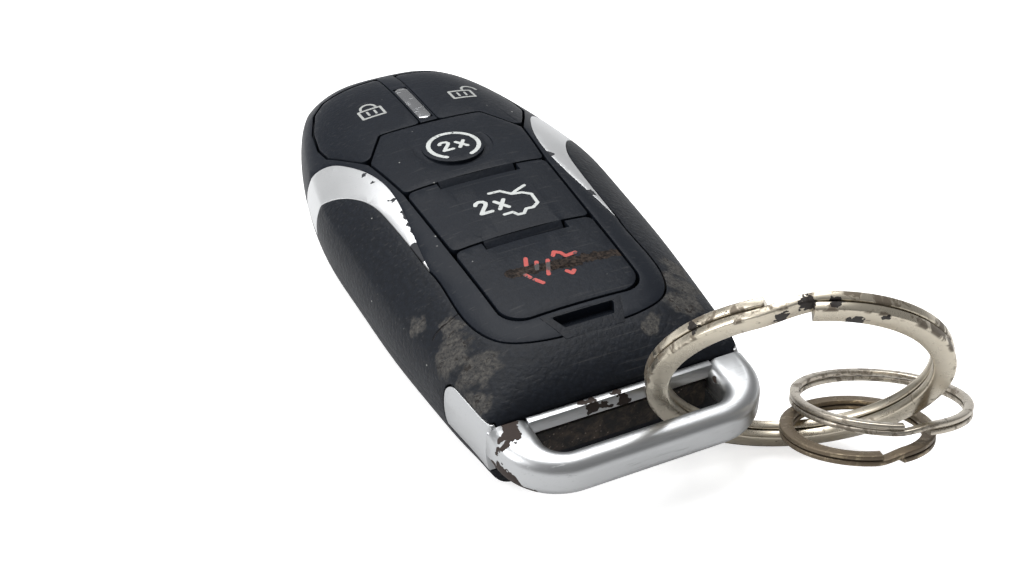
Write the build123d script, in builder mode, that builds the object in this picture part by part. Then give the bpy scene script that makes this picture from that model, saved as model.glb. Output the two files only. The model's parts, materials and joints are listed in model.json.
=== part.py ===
from build123d import *
import math
import os

os.makedirs("parts", exist_ok=True)

# Driving sizes of the fob, in millimetres. X is across, Y runs to the head end, Z is up.
fob_length = 80.0
fob_width = 36.7
fob_height = 14.4
wall = 1.4
seam_gap = 0.2
line_gap = 0.25
lip_gap = 0.1
lip_wall = 0.8
lip_h = 1.2
lip_l = 68.0
key_gap = 0.34
key_travel = 0.5
half_l = fob_length / 2
half_w = fob_width / 2

# Cross-sections of the body, from the loop end to the head end.
station_y_shares = (-0.775, -0.75, -0.7, -0.6, -0.45, -0.25, 0.05, 0.25,
                    0.45, 0.6, 0.72, 0.825, 0.9, 0.95, 0.98, 0.997)
station_w_shares = (0.84, 0.848, 0.858, 0.885, 0.925, 0.968, 0.994, 1.0,
                    0.952, 0.886, 0.815, 0.735, 0.655, 0.565, 0.47, 0.37)
station_crown_shares = (0.7, 0.775, 0.86, 0.945, 0.99, 1.0, 1.0, 0.99,
                        0.945, 0.91, 0.88, 0.84, 0.79, 0.73, 0.66, 0.585)
station_base_shares = (0.05, 0.03, 0.01, -0.02, -0.02, -0.02, -0.02, -0.02,
                       -0.02, -0.015, 0.0, 0.03, 0.08, 0.14, 0.22, 0.3)
station_edge_shares = (0.9, 0.88, 0.83, 0.76, 0.71, 0.69, 0.69, 0.69,
                       0.69, 0.69, 0.69, 0.69, 0.69, 0.7, 0.72, 0.75)
crown_x_shares = (0.0, 0.3, 0.46, 0.65, 0.83, 0.95)
crown_fall_shares = (0.0, 0.032, 0.097, 0.29, 0.63, 1.0)
flank_x_shares = (0.95, 0.995, 0.995, 0.955, 0.88, 0.8)
flank_z_shares = (1.0, 0.75, 0.52, 0.25, 0.06, 0.0)

# Plan outlines as (x, y) shares of half the width and half the length, right half.
bezel_low_shares = ((0.0, -0.628), (0.33, -0.617), (0.53, -0.572), (0.61, -0.505),
                    (0.64, -0.35), (0.648, -0.2))
bezel_top_shares = ((0.648, -0.2), (0.605, -0.03), (0.572, 0.1), (0.566, 0.21), (0.612, 0.335),
                    (0.69, 0.43), (0.77, 0.492), (0.85, 0.515))
trim_out_shares = ((0.648, -0.2), (0.664, -0.05), (0.68, 0.07), (0.712, 0.18), (0.785, 0.262),
                   (0.87, 0.32), (0.94, 0.352))
keypad_side_shares = ((0.458, -0.5375), (0.478, -0.1825), (0.504, 0.1475))
hexagon_side_share = (0.565, 0.37)
hexagon_top_share = (0.376, 0.507)
lock_shares = ((0.665, 0.457), (0.742, 0.535), (0.748, 0.615), (0.703, 0.73),
               (0.61, 0.84), (0.507, 0.885), (0.06, 0.91))
trunk_top_share = 0.1475
panic_top_share = -0.1825
tab_x_share = 0.285
tab_y_share = 0.028

# Depths inside the body.
seam_z = 4.8
cap_wall = 1.2
cap_floor_z = 11.1
lock_floor_z = 9.1
board_z = 7.4
board_t = 0.8
switch_h = 1.4
switch_w = 3.6
mat_t = 0.7
pad_top_z = 11.0
post_gap = 0.15
cap_under_z = 13.4
lock_post_x = 7.0
lock_post_y = 26.5
lock_under_z = 11.9
plunger_r = 1.5
key_corner_r = 3.0
small_corner_r = 0.8
dish_r = 5.0
dish_depth = 0.28
dish_w = 1.1
dish_y = 13.0
crown_drop = 0.33
lip_t = 1.0
lip_low_z = 12.2
lip_top_z = 13.45
lip_crown_z = 14.3
slot_top_l = 7.6
slot_low_l = 5.9
slot_top_y = -22.4
slot_low_y = -24.2
slot_corner_r = 0.25
slot_floor_z = 12.6
strip_w = 1.9
strip_l = 9.6
strip_y = 26.3
strip_seat = 2.2
strip_gap = 0.05
rib_w = 2.6
mat_shares = ((0.42, -0.5), (0.43, 0.36), (0.53, 0.45), (0.53, 0.67), (0.43, 0.75))
pad_r = 2.4
pad_wall = 0.6
pad_well = 0.35
board_shares = ((0.62, -0.6), (0.76, -0.3), (0.78, 0.45), (0.66, 0.62), (0.5, 0.78))
board_hole_x = 11.6
board_hole_y = 17.0
peg_r = 0.9
peg_gap = 0.1
switch_nub = 0.3
chip_x = -4.0
chip_y = 21.0
chip_w = 5.0
chip_t = 0.8
radio_x = 4.5
radio_y = 21.5
radio_w = 4.0
radio_l = 4.0
crystal_x = 9.5
crystal_y = 25.0
crystal_w = 3.2
crystal_l = 2.2
coil_x = 0.0
coil_y = -16.5
coil_w = 7.0
coil_h = 2.6
coil_end_t = 0.5
coil_low_z = 3.6
transponder_x = 5.0
transponder_y = -24.5
transponder_l = 11.0
transponder_w = 2.4
chassis_gap = 0.15
chassis_y = 1.0
chassis_l = 60.0
chassis_low_z = 2.2

# Round openings and inner parts.
battery_r = 10.0
battery_h = 3.2
battery_x = 3.3
battery_y = 2.0
battery_z = 3.0
battery_step = 0.4
battery_gap = 0.3
cover_w = 21.4
cover_l = 27.0
cover_t = 1.1
cover_gap = 0.15
cover_corner_r = 4.0
cover_lip = 1.2
grip_dent_l = 9.0
grip_dent_w = 1.8
grip_dent_t = 0.5
cover_lip_h = 0.75
slider_x = -9.6
slider_y = -19.0
slider_w = 4.6
slider_l = 8.0
slider_gap = 0.3
slider_travel = 2.0
slider_low_z = 0.35
slider_body_t = 1.15
slider_plate_t = 0.6
slider_wing = 1.0
slider_rib_pitch = 1.4
slider_ribs = 4
slider_rib_t = 0.3
leaf_t = 0.3
leaf_w = 4.0
leaf_reach = 1.2
blade_w = 6.0
blade_t = 2.0
blade_x = -10.9
blade_z = 4.6
blade_tip_y = 17.0
blade_root_y = -30.0
blade_gap = 0.3
track_w = 1.6
track_depth = 0.55

# Loop of the key that pulls out.
loop_hole_half_w = 10.5
loop_hole_low_y = -36.75
loop_hole_top_y = -31.6
loop_back_y = -31.15
loop_band_low_z = 7.7
loop_band_t = 0.8
loop_end_y = -39.9
loop_low_z = 4.9
loop_top_z = 9.4
loop_corner_r = 7.2
loop_end_w = 15.1
holder_t = 0.75
spring_w = 3.6
spring_y = -15.0
spring_pitch = 0.62
spring_side_shares = (0.0, 1.0, -1.0, 1.0, 0.0)
track_shares = ((-0.1, 0.14), (-0.1, 0.4), (0.14, 0.52), (0.14, 0.64), (-0.16, 0.78),
                (0.0, 0.99))
loop_hole_r = 2.2
loop_round = 1.5
ear_x = 14.3
ear_tip_y = -22.4
ear_low_z = 3.4
ear_top_z = 9.4
ear_tip_r = 1.6
ear_gap = 0.2
ear_tip_cut = 1.2
bridge_w = 0.9
tongue_w = 7.0
tongue_h = 3.4
tongue_low_z = 3.9
tongue_top_y = -26.0

# Rings, placed by centre and tilt.
ring_r = 14.4
ring_wire_w = 2.35
ring_wire_t = 1.0
ring_turn_gap = 0.16
ring_centre = (14.4, -42.35, 14.85)
ring_normal = (-0.37, -0.84, -0.38)
step_from = 297.0
step_to = 268.0
front_end = 274.0
back_end = 291.0
step_shares = (1, 1, 0.85, 0, -0.85, -1, -1)
small_r = 9.2
small_wire_w = 1.0
small_wire_t = 0.55
small_centre = (26.5, -41.55, 6.1)
small_normal = (0.18, 0.35, 0.92)
link_r = 7.4
link_wire_w = 1.4
link_wire_t = 0.5
link_centre = (21.53, -44.34, 6.16)
link_normal = (0.12, 0.31, 0.94)


def section_points(i, inset):
    # Right half of a cross-section as crown points and flank points.
    w = station_w_shares[i] * half_w - inset
    low = station_base_shares[i] * fob_height + inset
    rise = station_crown_shares[i] * fob_height - inset - low
    edge = station_edge_shares[i]
    falls = [1 - (1 - edge) * fall for fall in crown_fall_shares]
    crown = [(x * w, low + z * rise) for x, z in zip(crown_x_shares, falls)]
    flank = [(x * w, low + z * edge * rise) for x, z in zip(flank_x_shares, flank_z_shares)]
    return crown, flank


def mirrored(points):
    return [(-x, y) for x, y in reversed(points)]


def plan(shares):
    return [(x * half_w, y * half_l) for x, y in shares]


def grown(points, amount):
    # Moves a run of points to its right-hand side, used for even gaps.
    out = []
    for i, (x, y) in enumerate(points):
        ax, ay = points[max(i - 1, 0)]
        bx, by = points[min(i + 1, len(points) - 1)]
        run = math.hypot(bx - ax, by - ay)
        out.append((x + amount * (by - ay) / run, y - amount * (bx - ax) / run))
    return out


with BuildPart() as envelope:
    for i, y_share in enumerate(station_y_shares):
        crown, flank = section_points(i, 0)
        with BuildSketch(Plane.XZ.offset(-y_share * half_l)):
            with BuildLine():
                Spline(*(mirrored(crown)[:-1] + crown))
                Spline(*flank)
                Line(flank[-1], mirrored(flank)[0])
                Spline(*mirrored(flank))
            make_face()
    loft()
    with Locations((0, 0, -fob_height / 2)):
        Box(fob_width * 2, fob_length * 2, fob_height, mode=Mode.SUBTRACT)

hollow_stations = (1, 3, 5, 6, 7, 8, 9, 10, 11, 12, 13)


def hollow(inset, stations):
    # The inner space at an even depth below the skin.
    with BuildPart() as inner:
        for i in stations:
            crown, flank = section_points(i, inset)
            side = [flank[1], flank[3], flank[5]]
            with BuildSketch(Plane.XZ.offset(-station_y_shares[i] * half_l)):
                with BuildLine():
                    top = [crown[0], crown[2], crown[4], crown[5]]
                    Polyline(*(mirrored(top)[:-1] + top + side + mirrored(side)), close=True)
                make_face()
        loft(ruled=True)
    return inner.part


inner_space = hollow(wall, hollow_stations)
cap_space = hollow(cap_wall, hollow_stations)

with BuildPart() as skin:
    add(envelope.part)
    add(inner_space, mode=Mode.SUBTRACT)

reach = fob_width

low_line = plan(bezel_low_shares)
top_line = plan(bezel_top_shares)
out_line = plan(trim_out_shares)


def front_region(low, top, z_from):
    # Prism of everything inside the boundary and ahead of its upper end.
    end = top[-1]
    far = ((reach, end[1]), (reach, fob_length))
    with BuildPart() as region:
        with BuildSketch(Plane.XY.offset(z_from)):
            with BuildLine():
                Spline(*(mirrored(low)[:-1] + low))
                Spline(*top)
                Polyline(end, far[0], far[1], (-reach, fob_length), (-reach, end[1]),
                         (-end[0], end[1]))
                Spline(*mirrored(top))
            make_face()
        extrude(amount=fob_height * 2)
    return region.part


bezel_region = front_region(low_line, top_line, seam_z + seam_gap)
trim_region = front_region(low_line, out_line, seam_z + seam_gap)
grip_low = grown(low_line, line_gap)
grip_out = [grip_low[-1]] + grown(out_line, seam_gap / 2)[1:]
grip_region = front_region(grip_low, grip_out, 0)


keypad_side = plan(keypad_side_shares)
hex_side = (hexagon_side_share[0] * half_w, hexagon_side_share[1] * half_l)
hex_top = (hexagon_top_share[0] * half_w, hexagon_top_share[1] * half_l)
lock_line = plan(lock_shares)
trunk_top = trunk_top_share * half_l
panic_top = panic_top_share * half_l
tab_x = tab_x_share * half_w
tab_y = tab_y_share * half_l


def side_x(y):
    # Half width of the keypad at a height along its side.
    (x0, y0), (x1, y1), (x2, y2) = keypad_side
    if y < y1:
        return x0 + (x1 - x0) * (y - y0) / (y1 - y0)
    return x1 + (x2 - x1) * (y - y1) / (y2 - y1)


def closed(right):
    # Closed outline from its right half.
    return right + mirrored(right)


def key_prism(points, amount, corner_r, z_from, big_r=0, big_y=0):
    # Prism of a key outline moved out or in, with rounded corners.
    with BuildPart() as prism:
        with BuildSketch(Plane.XY.offset(z_from)) as plan_face:
            with BuildLine():
                Polyline(*points, close=True)
            make_face()
            offset(amount=amount, kind=Kind.INTERSECTION)
            corners = plan_face.vertices()
            if big_r:
                low = corners.filter_by(lambda v: v.Y < big_y)
                fillet(low, radius=big_r)
                corners = plan_face.vertices().filter_by(lambda v: v.Y > big_y + big_r * 2)
            fillet(corners, radius=corner_r)
        extrude(amount=fob_height * 2)
    return prism.part


start_points = closed([(tab_x, trunk_top), (side_x(trunk_top), trunk_top), hex_side, hex_top])
trunk_points = closed([(side_x(panic_top), panic_top), (side_x(trunk_top), trunk_top)])
panic_points = closed([keypad_side[0], (side_x(panic_top), panic_top)])
lock_points = [hex_side] + lock_line + [(lock_line[-1][0], hex_top[1]), hex_top]
lock_left_points = mirrored(lock_points)
mouth_points = closed([keypad_side[0], (side_x(trunk_top), trunk_top), hex_side] + lock_line)


with BuildPart() as front_bezel:
    add(skin.part)
    add(bezel_region, mode=Mode.INTERSECT)
    mouth = key_prism(mouth_points, key_gap / 2, small_corner_r, lock_floor_z - mat_t,
                      key_corner_r, keypad_side[0][1] + key_corner_r)
    add(mouth, mode=Mode.SUBTRACT)
    with BuildSketch(Plane.XY.offset(slot_floor_z)) as slot_face:
        with BuildLine():
            Polyline(*closed([(slot_low_l / 2, slot_low_y), (slot_top_l / 2, slot_top_y)]), close=True)
        make_face()
        fillet(slot_face.vertices(), radius=slot_corner_r)
    extrude(amount=fob_height, mode=Mode.SUBTRACT)

with BuildPart() as rib:
    add(envelope.part)
    add(cap_space, mode=Mode.SUBTRACT)
    with BuildSketch(Plane.XY.offset(lock_floor_z)):
        with Locations((0, (hex_top[1] + half_l) / 2 + key_gap)):
            Rectangle(rib_w - key_gap, half_l - hex_top[1])
    extrude(amount=fob_height, mode=Mode.INTERSECT)
    with Locations((0, strip_y, fob_height)):
        Box(strip_w, strip_l, strip_seat * 2, mode=Mode.SUBTRACT)

with BuildPart() as bezel_with_rib:
    add(front_bezel.part)
    add(rib.part)
bezel_with_rib.part.label = "front_bezel"
export_step(bezel_with_rib.part, "parts/front_bezel.step")

with BuildPart() as centre_strip:
    with BuildSketch(Plane.XY.offset(fob_height - strip_seat)) as strip_face:
        with Locations((0, strip_y)):
            SlotOverall(strip_l - strip_gap * 2, strip_w - strip_gap * 2, rotation=90)
    extrude(amount=strip_seat)
    add(envelope.part, mode=Mode.INTERSECT)
centre_strip.part.label = "centre_strip"

export_step(centre_strip.part, "parts/centre_strip.step")

with BuildPart() as trims:
    add(skin.part)
    add(trim_region, mode=Mode.INTERSECT)
    add(bezel_region, mode=Mode.SUBTRACT)
by_side = trims.part.solids().sort_by(Axis.X)
trim_left = by_side[0]
trim_left.label = "shoulder_trim_left"
export_step(trim_left, "parts/shoulder_trim_left.step")
trim_right = by_side[-1]
trim_right.label = "shoulder_trim_right"
export_step(trim_right, "parts/shoulder_trim_right.step")


def ear_block(extra):
    # Space of the loop's two ears, beside the lower corners of the body.
    with BuildPart() as ears:
        with BuildSketch(Plane.XY.offset(ear_low_z - extra)):
            with BuildLine():
                Polyline((ear_x - extra, -half_l), (ear_x - extra, ear_tip_y - ear_tip_cut),
                         (ear_x + ear_tip_cut, ear_tip_y + extra), (reach, ear_tip_y + extra),
                         (reach, -half_l), close=True)
            make_face()
            mirror(about=Plane.YZ)
        extrude(amount=ear_top_z - ear_low_z + extra * 2)
        tips = ears.edges().filter_by(Axis.X).group_by(Axis.Z)[-1].group_by(Axis.Y)[-1]
        fillet(tips, radius=ear_tip_r)
    return ears.part


def tongue_block(extra):
    # Space of the key's tongue, inside the loop end of the body.
    with BuildPart() as tongue:
        with Locations((blade_x, 0, tongue_low_z - extra)):
            Box(tongue_w + extra * 2, tongue_top_y + extra - loop_back_y, tongue_h + extra * 2,
                align=(Align.CENTER, Align.MIN, Align.MIN))
    return tongue.part.moved(Location((0, loop_back_y, 0)))


ear_space = ear_block(ear_gap)
tongue_space = tongue_block(blade_gap)
with BuildPart() as blade_channel:
    with Locations((blade_x, loop_back_y, blade_z - blade_gap)):
        Box(blade_w + blade_gap * 2, blade_tip_y - loop_back_y + blade_gap,
            blade_t + blade_gap * 2, align=(Align.CENTER, Align.MIN, Align.MIN))

with BuildPart() as grip_shell:
    add(skin.part)
    with Locations((0, 0, seam_z)):
        Box(fob_width * 2, fob_length * 2, seam_z * 2,
            align=(Align.CENTER, Align.CENTER, Align.MAX), mode=Mode.SUBTRACT)
    add(grip_region, mode=Mode.SUBTRACT)
    add(ear_space, mode=Mode.SUBTRACT)
    add(tongue_space, mode=Mode.SUBTRACT)
grip_shell.part.label = "grip_shell"
export_step(grip_shell.part, "parts/grip_shell.step")

with BuildPart() as rear_shell:
    add(skin.part)
    with Locations((0, 0, seam_z)):
        Box(fob_width * 2, fob_length * 2, fob_height * 2,
            align=(Align.CENTER, Align.CENTER, Align.MIN), mode=Mode.SUBTRACT)
    add(ear_space, mode=Mode.SUBTRACT)
    add(tongue_space, mode=Mode.SUBTRACT)
    with BuildSketch(Plane.XY.offset(-cover_t)):
        with Locations((battery_x, battery_y)):
            RectangleRounded(cover_w + cover_gap * 2, cover_l + cover_gap * 2,
                             cover_corner_r + cover_gap)
    extrude(amount=cover_t * 3, mode=Mode.SUBTRACT)
    with Locations((slider_x, slider_y, 0)):
        Box(slider_w + slider_gap * 2, slider_l + slider_travel + slider_gap * 2, cover_t * 4,
            mode=Mode.SUBTRACT)

with BuildPart() as seam_lip:
    add(hollow(wall + lip_gap, hollow_stations))
    add(hollow(wall + lip_gap + lip_wall, hollow_stations), mode=Mode.SUBTRACT)
    with Locations((0, 0, seam_z - lip_h)):
        Box(fob_width, lip_l, lip_h * 2, align=(Align.CENTER, Align.CENTER, Align.MIN),
            mode=Mode.INTERSECT)
    add(ear_block(ear_gap + lip_wall), mode=Mode.SUBTRACT)
    add(tongue_space, mode=Mode.SUBTRACT)
    add(blade_channel.part, mode=Mode.SUBTRACT)

with BuildPart() as lip_root:
    add(inner_space)
    add(hollow(wall + lip_gap + lip_wall, hollow_stations), mode=Mode.SUBTRACT)
    with Locations((0, 0, seam_z)):
        Box(fob_width, lip_l, lip_h, align=(Align.CENTER, Align.CENTER, Align.MAX),
            mode=Mode.INTERSECT)
    add(ear_block(ear_gap + lip_wall), mode=Mode.SUBTRACT)
    add(tongue_space, mode=Mode.SUBTRACT)
    add(blade_channel.part, mode=Mode.SUBTRACT)

with BuildPart() as rear_with_lip:
    add(rear_shell.part)
    add(lip_root.part)
    add(seam_lip.part)
rear_with_lip.part.label = "rear_shell"
export_step(rear_with_lip.part, "parts/rear_shell.step")

with BuildPart() as battery_cover:
    with BuildSketch(Plane.XY):
        with Locations((battery_x, battery_y)):
            RectangleRounded(cover_w, cover_l, cover_corner_r)
    extrude(amount=cover_t)
    with BuildSketch(Plane.XY.offset(cover_t)):
        with Locations((battery_x, battery_y)):
            RectangleRounded(cover_w - cover_lip, cover_l - cover_lip, cover_corner_r - cover_lip / 2)
            RectangleRounded(cover_w - cover_lip * 3, cover_l - cover_lip * 3,
                             cover_corner_r - cover_lip * 3 / 2, mode=Mode.SUBTRACT)
    extrude(amount=cover_lip_h)
    with BuildSketch(Plane.XY):
        with Locations((battery_x, battery_y - cover_l / 2 + grip_dent_w * 2)):
            SlotOverall(grip_dent_l, grip_dent_w)
    extrude(amount=grip_dent_t, mode=Mode.SUBTRACT)
battery_cover.part.label = "battery_cover"
export_step(battery_cover.part, "parts/battery_cover.step")

with BuildPart() as release_slider:
    with Locations((slider_x, slider_y - slider_travel / 2, slider_low_z)):
        Box(slider_w, slider_l, slider_body_t, align=(Align.CENTER, Align.CENTER, Align.MIN))
    with Locations((slider_x, slider_y - slider_travel / 2, slider_low_z + slider_body_t)):
        Box(slider_w + slider_wing, slider_l + slider_wing, slider_plate_t,
            align=(Align.CENTER, Align.CENTER, Align.MIN))
    with GridLocations(0, slider_rib_pitch, 1, slider_ribs):
        with Locations((slider_x, slider_y - slider_travel / 2, slider_low_z)):
            Box(slider_w, slider_rib_pitch / 2, slider_rib_t * 2, mode=Mode.SUBTRACT)
release_slider.part.label = "release_slider"
export_step(release_slider.part, "parts/release_slider.step")


def key_cap(points, floor_z, big_r, big_y, post, hollowed):
    # One key cap with a plunger, hollow where it is thick.
    outer = key_prism(points, -key_gap / 2, small_corner_r, floor_z, big_r, big_y)
    inner = key_prism(points, -key_gap / 2 - cap_wall, small_corner_r / 2, floor_z,
                      max(big_r - cap_wall, 0), big_y)
    with BuildPart() as pocket:
        add(cap_space)
        add(inner, mode=Mode.INTERSECT)
    with BuildPart() as cap:
        add(envelope.part)
        add(outer, mode=Mode.INTERSECT)
        if hollowed:
            add(pocket.part, mode=Mode.SUBTRACT)
        with Locations((post[0], post[1], pad_top_z + post_gap + key_travel)):
            Cylinder(plunger_r, post[2] - pad_top_z - post_gap - key_travel,
                     align=(Align.CENTER, Align.CENTER, Align.MIN))
    return cap.part


start_post = (0, (trunk_top + hex_top[1]) / 2, cap_under_z)
trunk_post = (0, (trunk_top + panic_top) / 2, cap_under_z)
panic_post = (0, (panic_top + keypad_side[0][1]) / 2, cap_under_z)
lock_post = (lock_post_x, lock_post_y, lock_under_z)

start_base = key_cap(start_points, cap_floor_z, 0, 0, start_post, True)
lip_end = trunk_top - tab_y
with BuildPart() as start_lip:
    with BuildSketch(Plane.YZ.offset(-tab_x + key_gap)):
        with BuildLine():
            Polyline((trunk_top + cap_wall, cap_floor_z + lip_t), (lip_end, lip_low_z),
                     (lip_end, lip_top_z), (trunk_top + key_gap / 2, lip_crown_z),
                     (trunk_top + cap_wall, lip_crown_z), close=True)
        make_face()
    extrude(amount=(tab_x - key_gap) * 2)
    add(envelope.part, mode=Mode.INTERSECT)

with BuildPart() as start_button:
    add(start_base)
    add(start_lip.part)
    with BuildSketch(Plane.XY.offset(fob_height - dish_depth - crown_drop)):
        with Locations((0, dish_y)):
            Circle(dish_r)
            Circle(dish_r - dish_w, mode=Mode.SUBTRACT)
    extrude(amount=fob_height, mode=Mode.SUBTRACT)
start_button.part.label = "start_button"
export_step(start_button.part, "parts/start_button.step")

trunk_base = key_cap(trunk_points, cap_floor_z, 0, 0, trunk_post, True)
trunk_lip_end = panic_top - tab_y
with BuildPart() as trunk_button:
    add(trunk_base)
    with BuildSketch(Plane.YZ.offset(-tab_x)):
        with BuildLine():
            Polyline((lip_end - key_gap, cap_floor_z), (lip_end - key_gap, fob_height * 2),
                     (trunk_top + cap_wall, fob_height * 2), (trunk_top + cap_wall, cap_floor_z),
                     close=True)
        make_face()
    extrude(amount=tab_x * 2, mode=Mode.SUBTRACT)
    with BuildSketch(Plane.YZ.offset(-tab_x + key_gap)):
        with BuildLine():
            Polyline((panic_top + cap_wall, cap_floor_z + lip_t), (trunk_lip_end, lip_low_z),
                     (trunk_lip_end, lip_top_z), (panic_top + key_gap / 2, lip_crown_z),
                     (panic_top + cap_wall, lip_crown_z), close=True)
        make_face()
    extrude(amount=(tab_x - key_gap) * 2)
trunk_button.part.label = "trunk_button"
export_step(trunk_button.part, "parts/trunk_button.step")

panic_base = key_cap(panic_points, cap_floor_z, key_corner_r, keypad_side[0][1] + key_corner_r,
                     panic_post, True)
with BuildPart() as panic_button:
    add(panic_base)
    with BuildSketch(Plane.YZ.offset(-tab_x)):
        with BuildLine():
            Polyline((trunk_lip_end - key_gap, cap_floor_z), (trunk_lip_end - key_gap, fob_height * 2),
                     (panic_top + cap_wall, fob_height * 2), (panic_top + cap_wall, cap_floor_z),
                     close=True)
        make_face()
    extrude(amount=tab_x * 2, mode=Mode.SUBTRACT)
panic_button.part.label = "panic_button"
export_step(panic_button.part, "parts/panic_button.step")


def lock_cap(points, side):
    # Key at the head end, with a deeper skirt along its outer edge.
    post = (side * lock_post_x, lock_post_y, lock_under_z)
    base = key_cap(points, lock_floor_z, 0, 0, post, False)
    with BuildPart() as cap:
        add(base)
        with BuildSketch(Plane.XY.offset(lock_floor_z)):
            with BuildLine():
                Polyline(*closed(grown(plan(mat_shares), key_gap)), close=True)
            make_face()
        extrude(amount=cap_floor_z - lock_floor_z, mode=Mode.SUBTRACT)
        with Locations((post[0], post[1], lock_floor_z)):
            Cylinder(pad_r + key_gap, pad_top_z + post_gap + key_travel - lock_floor_z,
                     align=(Align.CENTER, Align.CENTER, Align.MIN), mode=Mode.SUBTRACT)
    return cap.part


lock_button = lock_cap(lock_left_points, -1)
lock_button.label = "lock_button"
export_step(lock_button, "parts/lock_button.step")
unlock_button = lock_cap(lock_points, 1)
unlock_button.label = "unlock_button"
export_step(unlock_button, "parts/unlock_button.step")

switch_spots = [(0, start_post[1]), (0, trunk_post[1]), (0, panic_post[1]),
                (-lock_post_x, lock_post_y), (lock_post_x, lock_post_y)]
board_top_z = board_z + board_t
mat_low_z = board_top_z + switch_h
mat_top_z = mat_low_z + mat_t

with BuildPart() as keypad_mat:
    with BuildSketch(Plane.XY.offset(mat_low_z)):
        with BuildLine():
            Polyline(*closed(plan(mat_shares)), close=True)
        make_face()
    extrude(amount=mat_t)
    with BuildSketch(Plane.XY.offset(mat_top_z)):
        with Locations(*switch_spots):
            Circle(pad_r)
    extrude(amount=pad_top_z - mat_top_z)
    with BuildSketch(Plane.XY.offset(mat_low_z)):
        with Locations(*switch_spots):
            Circle(pad_r - pad_wall)
    extrude(amount=pad_well, mode=Mode.SUBTRACT)
keypad_mat.part.label = "keypad_mat"
export_step(keypad_mat.part, "parts/keypad_mat.step")

with BuildPart() as circuit_board:
    with BuildSketch(Plane.XY.offset(board_z)) as board_face:
        with BuildLine():
            Polyline(*closed(plan(board_shares)), close=True)
        make_face()
        fillet(board_face.vertices(), radius=small_corner_r)
        with Locations((board_hole_x, board_hole_y), (-board_hole_x, board_hole_y),
                       (board_hole_x, -board_hole_y), (-board_hole_x, -board_hole_y)):
            Circle(peg_r + peg_gap, mode=Mode.SUBTRACT)
    extrude(amount=board_t)
circuit_board.part.label = "circuit_board"
export_step(circuit_board.part, "parts/circuit_board.step")

with BuildPart() as tact_switches:
    with Locations(*[(x, y, board_top_z) for x, y in switch_spots]):
        Box(switch_w, switch_w, switch_h - switch_nub, align=(Align.CENTER, Align.CENTER, Align.MIN))
        Cylinder(switch_w / 4, switch_h, align=(Align.CENTER, Align.CENTER, Align.MIN))
tact_switches.part.label = "tact_switches"
export_step(tact_switches.part, "parts/tact_switches.step")

with BuildPart() as control_chip:
    with Locations((chip_x, chip_y, board_z - chip_t)):
        Box(chip_w, chip_w, chip_t, align=(Align.CENTER, Align.CENTER, Align.MIN))
control_chip.part.label = "control_chip"
export_step(control_chip.part, "parts/control_chip.step")

with BuildPart() as radio_chip:
    with Locations((radio_x, radio_y, board_z - chip_t)):
        Box(radio_w, radio_l, chip_t, align=(Align.CENTER, Align.CENTER, Align.MIN))
radio_chip.part.label = "radio_chip"
export_step(radio_chip.part, "parts/radio_chip.step")

with BuildPart() as crystal:
    with Locations((crystal_x, crystal_y, board_z - chip_t)):
        Box(crystal_w, crystal_l, chip_t, align=(Align.CENTER, Align.CENTER, Align.MIN))
crystal.part.label = "crystal"
export_step(crystal.part, "parts/crystal.step")

with BuildPart() as aerial_coil:
    with Locations((coil_x, coil_y, coil_low_z)):
        Box(coil_w, coil_w, coil_end_t, align=(Align.CENTER, Align.CENTER, Align.MIN))
    with Locations((coil_x, coil_y, coil_low_z + coil_end_t)):
        Cylinder(coil_w / 2 - coil_end_t, coil_h - coil_end_t * 2,
                 align=(Align.CENTER, Align.CENTER, Align.MIN))
    with Locations((coil_x, coil_y, coil_low_z + coil_h - coil_end_t)):
        Box(coil_w, coil_w, coil_end_t, align=(Align.CENTER, Align.CENTER, Align.MIN))
aerial_coil.part.label = "aerial_coil"
export_step(aerial_coil.part, "parts/aerial_coil.step")

with BuildPart() as transponder_coil:
    with Locations((transponder_x, transponder_y, coil_low_z)):
        Box(transponder_l, transponder_w, transponder_w,
            align=(Align.CENTER, Align.CENTER, Align.MIN))
        Cylinder(transponder_w / 2 + coil_end_t, transponder_l * 3 / 5, rotation=(0, 90, 0),
                 align=(Align.CENTER, Align.CENTER, Align.CENTER))
transponder_coil.part.label = "transponder_coil"
export_step(transponder_coil.part, "parts/transponder_coil.step")

with BuildPart() as battery:
    with Locations((battery_x, battery_y, battery_z)):
        Cylinder(battery_r - battery_step, battery_step, align=(Align.CENTER, Align.CENTER, Align.MIN))
    with Locations((battery_x, battery_y, battery_z + battery_step)):
        Cylinder(battery_r, battery_h - battery_step, align=(Align.CENTER, Align.CENTER, Align.MIN))
    fillet(battery.edges().group_by(Axis.Z)[-1], radius=battery_step)
battery.part.label = "battery"
export_step(battery.part, "parts/battery.step")

battery_top_z = battery_z + battery_h
with BuildPart() as contact_positive:
    with Locations((battery_x, battery_y, battery_top_z)):
        Box(leaf_w, battery_r * 2 - leaf_w, leaf_t, align=(Align.CENTER, Align.CENTER, Align.MIN))
    with Locations((battery_x, battery_y + battery_r - leaf_w, battery_top_z)):
        Box(leaf_w, leaf_t, board_z - battery_top_z, align=(Align.CENTER, Align.CENTER, Align.MIN))
contact_positive.part.label = "contact_positive"
export_step(contact_positive.part, "parts/contact_positive.step")

with BuildPart() as contact_negative:
    with Locations((battery_x, battery_y, battery_z - leaf_t)):
        Box(battery_r * 2 + leaf_reach * 2, leaf_w, leaf_t,
            align=(Align.CENTER, Align.CENTER, Align.MIN))
    with Locations((battery_x + battery_r + leaf_reach - leaf_t / 2, battery_y,
                    battery_z - leaf_t)):
        Box(leaf_t, leaf_w, board_z - battery_z + leaf_t,
            align=(Align.CENTER, Align.CENTER, Align.MIN))
contact_negative.part.label = "contact_negative"
export_step(contact_negative.part, "parts/contact_negative.step")

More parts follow.
